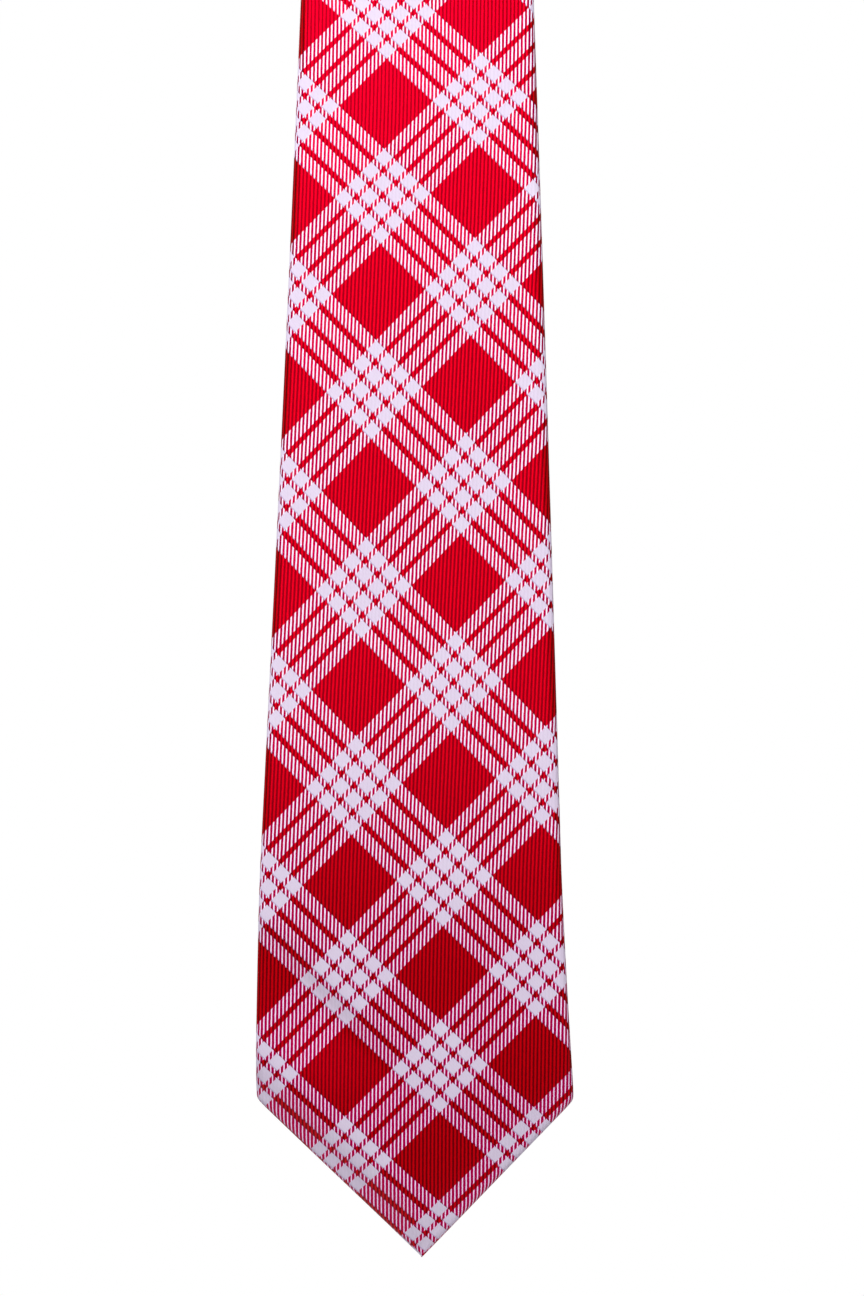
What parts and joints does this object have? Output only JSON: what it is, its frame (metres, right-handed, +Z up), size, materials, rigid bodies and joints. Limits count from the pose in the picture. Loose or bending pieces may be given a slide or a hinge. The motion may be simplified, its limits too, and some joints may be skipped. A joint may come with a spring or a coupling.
{
  "type": "necktie",
  "caption": "Red and white plaid necktie hanging over a rail, wide pointed blade in front, narrow tail behind, with lining, interlining and keeper loop.",
  "frame": {"origin": "on the axis of the rail that the tie hangs over, midway between the tie's two sides", "axes": "+X across the tie along the rail, -Y the side that the wide blade's face looks towards, +Z up"},
  "size_m": [0.09, 0.027, 0.825],
  "materials": {
    "shell_plaid": "woven silk-look twill, red and white plaid on the bias, satin sheen",
    "interlining_wool": "brushed off-white wool interlining, matt",
    "tipping_satin": "smooth red lining satin, soft sheen",
    "thread_red": "twisted red polyester thread, slight sheen",
    "thread_white": "twisted white polyester thread, slight sheen",
    "label_tape": "blank woven damask label, black, soft sheen",
    "care_tape": "blank white satin tape, soft sheen"
  },
  "bodies": {
    "neck": {"neck_shell": "shell_plaid", "neck_interlining": "interlining_wool", "neck_slip_stitch": "thread_red", "front_seam_thread": "thread_red", "tail_seam_thread": "thread_red"},
    "front_blade": {"front_shell": "shell_plaid", "front_interlining": "interlining_wool", "front_tipping": "tipping_satin", "front_slip_stitch": "thread_red", "front_bar_tack": "thread_red", "front_hem_thread": "thread_red", "keeper_loop": "shell_plaid", "keeper_tacks": "thread_red", "blank_label": "label_tape", "label_stitching": "thread_white", "care_label_tack": "thread_white"},
    "care_label": {"care_label": "care_tape"},
    "tail": {"tail_shell": "shell_plaid", "tail_interlining": "interlining_wool", "tail_tipping": "tipping_satin", "tail_slip_stitch": "thread_red", "tail_bar_tack": "thread_red", "tail_hem_thread": "thread_red"}
  },
  "joints": [
    {"name": "front_fold", "type": "hinge", "parent": "neck", "child": "front_blade", "pos_m": [0, -0.0135, -0.042], "axis": [-1, 0, 0], "range_deg": [0, 165]},
    {"name": "tail_fold", "type": "hinge", "parent": "neck", "child": "tail", "pos_m": [0, 0.0135, -0.192], "axis": [1, 0, 0], "range_deg": [0, 165]},
    {"name": "care_label_flip", "type": "hinge", "parent": "front_blade", "child": "care_label", "pos_m": [0, -0.00915, -0.667], "axis": [1, 0, 0], "range_deg": [0, 150]}
  ]
}
